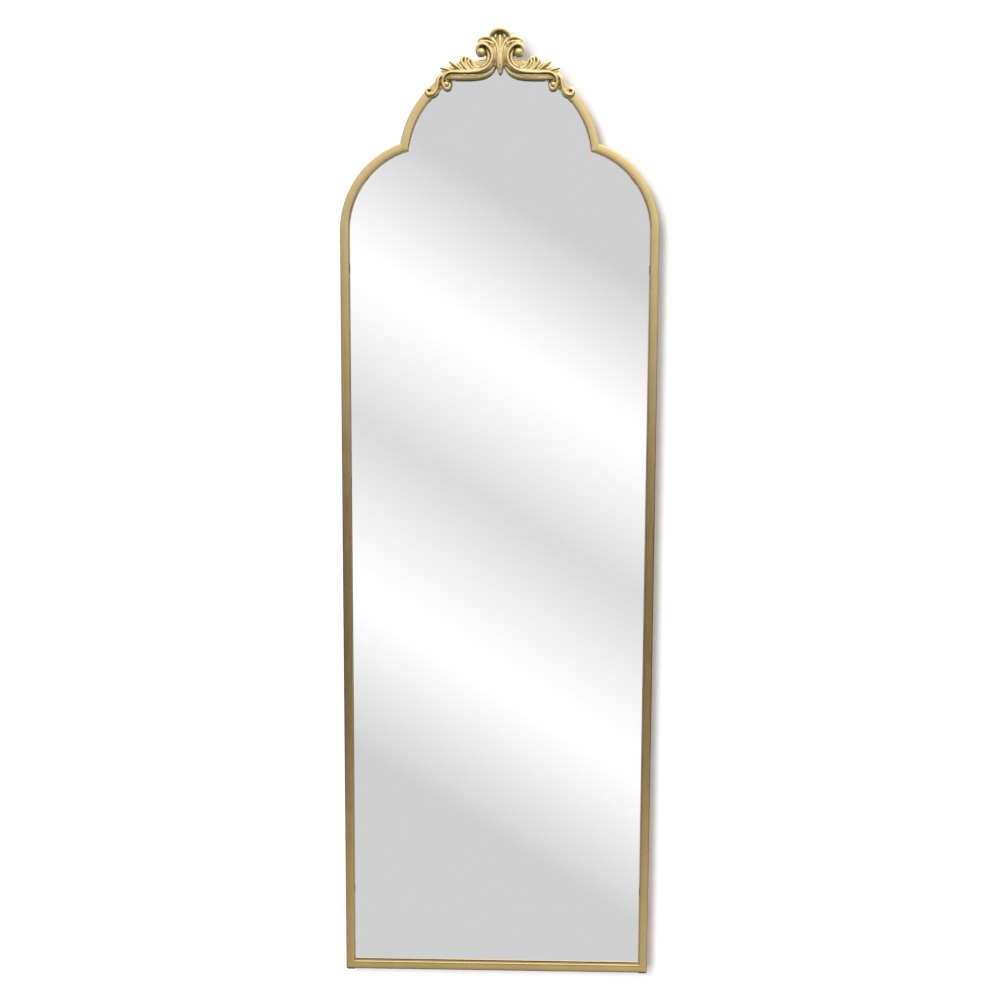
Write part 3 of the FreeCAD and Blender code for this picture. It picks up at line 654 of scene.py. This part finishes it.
def effect(name, stretch, scale, detail):
    """A shared effect: noise over a vector that is stretched first, as one value."""
    tree = bpy.data.node_groups.new(name, "ShaderNodeTree")
    tree.interface.new_socket("Vector", in_out="INPUT", socket_type="NodeSocketVector")
    tree.interface.new_socket("Value", in_out="OUTPUT", socket_type="NodeSocketFloat")
    start = add_node(tree, "NodeGroupInput")
    longer = add_node(tree, "ShaderNodeVectorMath", {0: start.outputs[0], 1: stretch},
                      operation="MULTIPLY")
    noise = add_node(tree, "ShaderNodeTexNoise", {"Vector": longer.outputs[0], "Scale": scale,
                                                  "Detail": detail, "Roughness": 0.6})
    add_node(tree, "NodeGroupOutput", {0: noise.outputs[0]})
    return tree


STREAKS = effect("brush_streaks", (1, 1, 0.02), 900, 3)
CLOUDS = effect("soft_clouds", (1, 1, 1), 22, 4)
GRAIN = effect("fine_grain", (1, 1, 1), 650, 5)


def remap(tree, value, low, high, bottom=0.0, top=1.0):
    """A value with its range from low to high stretched to bottom and top, and held there."""
    return add_node(tree, "ShaderNodeMapRange",
                    {0: value, 1: low, 2: high, 3: bottom, 4: top}).outputs[0]


def spread(tree, group, vector, low, high, top=1.0):
    """A shared effect's value, with its range from low to high stretched from 0 to top."""
    node = add_node(tree, "ShaderNodeGroup", node_tree=group)
    tree.links.new(vector, node.inputs[0])
    return remap(tree, node.outputs[0], low, high, 0.0, top)


def own_place(tree):
    return add_node(tree, "ShaderNodeTexCoord").outputs["Object"]


def skin(tree, colour, metallic, roughness, height=None, bump=(0.1, 0.0002), **extra):
    """The finish itself, with an optional bump of a given strength and depth."""
    values = {"Base Color": colour, "Metallic": metallic, "Roughness": roughness, **extra}
    if height is not None:
        values["Normal"] = add_node(tree, "ShaderNodeBump", {
            "Height": height, "Strength": bump[0], "Distance": bump[1]}).outputs[0]
    shader = add_node(tree, "ShaderNodeBsdfPrincipled", values)
    add_node(tree, "ShaderNodeOutputMaterial", {"Surface": shader.outputs[0]})


ARRIS_ACROSS = (0.0056, 0.0075)  # where a tube's worn arris starts and is full, from its middle
ARRIS_THROUGH = (0.0101, 0.0120)  # the same through the tube's depth
ARRIS_WEAR = 0.15


def brass_paint(name, on_tube):
    """Antique brass paint: brushed along the tube, clouded, and lighter on worn arrises."""
    material, tree = new_material(name)
    place = own_place(tree)
    along = (add_node(tree, "ShaderNodeAttribute", attribute_name="tube").outputs["Vector"]
             if on_tube else place)
    streak = spread(tree, STREAKS, along, 0.3, 0.7)
    cloud = spread(tree, CLOUDS, place, 0.35, 0.7)
    colour = mix(tree, streak, (0.51, 0.366, 0.160, 1), (0.60, 0.436, 0.196, 1))
    olive = maths(tree, "MULTIPLY", cloud, 0.38)
    colour = mix(tree, olive, colour, (0.40, 0.315, 0.135, 1))
    if on_tube:
        parts = add_node(tree, "ShaderNodeSeparateXYZ", {0: along}).outputs
        side = remap(tree, maths(tree, "ABSOLUTE", parts[0]), *ARRIS_ACROSS)
        edge = remap(tree, maths(tree, "ABSOLUTE", parts[1]), *ARRIS_THROUGH)
        worn = maths(tree, "MULTIPLY", maths(tree, "MULTIPLY", side, edge),
                     maths(tree, "MULTIPLY", streak, ARRIS_WEAR))
        colour = mix(tree, worn, colour, (0.78, 0.64, 0.38, 1))
    roughness = remap(tree, streak, 0.0, 1.0, 0.19, 0.25)
    skin(tree, colour, 1.0, roughness, streak, (0.05, 0.00005))
    return material


def gilding(name):
    """Pale gold over dark wash and painted shade in the hollows, painted shade on the undersides
    and at the walls' feet, and rubbed gold with a painted highlight on the rolls.
    """
    material, tree = new_material(name)
    place = own_place(tree)
    wash_and_shade = add_node(tree, "ShaderNodeAttribute", attribute_name="wash_and_shade").outputs["Fac"]
    rubbed_and_highlight = add_node(tree, "ShaderNodeAttribute", attribute_name="rubbed_and_highlight").outputs["Fac"]
    cloud = spread(tree, CLOUDS, place, 0.3, 0.75)
    grain = spread(tree, GRAIN, place, 0.3, 0.7)
    colour = mix(tree, cloud, (0.67, 0.485, 0.220, 1), (0.60, 0.465, 0.205, 1))
    # Rubbed gold and painted highlight on the raised rolls.
    colour = mix(tree, rubbed_and_highlight, colour, (0.80, 0.65, 0.36, 1))
    # The dark wash colour, which also stands in for painted shade.
    dark = mix(tree, cloud, (0.13, 0.075, 0.027, 1), (0.11, 0.09, 0.027, 1))
    # How far dark wash and painted shade cover the gold, broken up by a little grain.
    cover = remap(tree, maths(tree, "MULTIPLY_ADD", grain, 0.16, wash_and_shade), 0.24, 0.95)
    colour = mix(tree, cover, colour, dark)
    roughness = remap(tree, cover, 0.0, 1.0, 0.27, 0.5)
    skin(tree, colour, 0.9, roughness, grain, (0.08, 0.0001))
    return material


def silvering(name):
    """The mirror: silver behind clear glass, hardly varied."""
    material, tree = new_material(name)
    cloud = spread(tree, CLOUDS, own_place(tree), 0.3, 0.7)
    colour = mix(tree, cloud, (0.968, 0.972, 0.97, 1), (0.975, 0.976, 0.974, 1))
    skin(tree, colour, 1.0, 0.0)
    return material


def plain_finish(name, first, second, metallic, rough):
    """Two colours over fine grain and soft clouds: zinc, rubber, fibreboard, film and foam."""
    material, tree = new_material(name)
    place = own_place(tree)
    grain = spread(tree, GRAIN, place, 0.3, 0.7)
    cloud = spread(tree, CLOUDS, place, 0.3, 0.7, 0.5)
    colour = mix(tree, grain, (*first, 1), (*second, 1))
    colour = mix(tree, cloud, colour, (*second, 1))
    skin(tree, colour, metallic, remap(tree, grain, 0.0, 1.0, *rough), grain)
    return material


def on_bend(out, up, centre_z, radius):
    """A point's place across and along a tube that is bent around a centre."""
    return math.hypot(out, up) - radius, centre_z + math.atan2(up, out) * radius


def on_stile(x, z):
    out, up, radius = abs(x) - SHOULDER_X, z - SHOULDER_Z, SHOULDER_RADIUS - TUBE_FACE / 2
    return (out - radius, z) if up < 0 else on_bend(out, up, SHOULDER_Z, radius)


def on_arch(x, z):
    return on_bend(x, z - CROWN_Z, CROWN_Z, CROWN_RADIUS - TUBE_FACE / 2)


def on_rail(x, z):
    return z - RAIL_BOTTOM - TUBE_FACE / 2, x


def mark_tube(piece, place_on):
    """Give a tube's points their place across, through and along it, for the brushing."""
    marks = piece.data.attributes.new("tube", "FLOAT_VECTOR", "POINT")
    values = []
    for corner in piece.data.vertices:
        x, y, z = corner.co
        across, along = place_on(x, z)
        values += [across, y - TUBE_Y, along]
    marks.data.foreach_set("vector", values)


def dress(piece, material):
    piece.data.materials.clear()
    piece.data.materials.append(material)


mark_tube(stile, on_stile)
mark_tube(other_stile, on_stile)
mark_tube(arch, on_arch)
mark_tube(rail, on_rail)
tube_paint = brass_paint("antique_brass_paint", True)
small_paint = brass_paint("antique_brass_paint_small", False)
gilt = gilding("crest_gilding")
zinc = plain_finish("zinc_plate", (0.58, 0.58, 0.56), (0.70, 0.70, 0.68), 1.0, (0.26, 0.38))
rubber = plain_finish("black_rubber", (0.022, 0.022, 0.022), (0.045, 0.045, 0.043), 0.0,
                      (0.55, 0.75))
board = plain_finish("fibreboard", (0.24, 0.15, 0.08), (0.36, 0.25, 0.15), 0.0, (0.75, 0.9))
film = plain_finish("backing_film", (0.34, 0.36, 0.37), (0.42, 0.44, 0.45), 0.0, (0.4, 0.55))
foam = plain_finish("foam_tape", (0.72, 0.72, 0.69), (0.84, 0.84, 0.81), 0.0, (0.7, 0.9))
for piece, _, _ in tubes:
    dress(piece, tube_paint)
dress(crest, gilt)
for material, names in (
        (small_paint, ("weld_beads", "board_tabs", "restraint_lug")),
        (silvering("silvered_glass"), ("mirror_glass",)),
        (film, ("safety_film",)), (foam, ("mounting_tape",)), (board, ("back_board",)),
        (rubber, ("setting_blocks", "wall_bumpers", "foot_pads")),
        (zinc, ("tab_screws", "crest_screws", "left_hanger_strap", "right_hanger_strap",
                "left_hanger_ring", "right_hanger_ring", "hanger_screws"))):
    for name in names:
        dress(nodes[name], material)
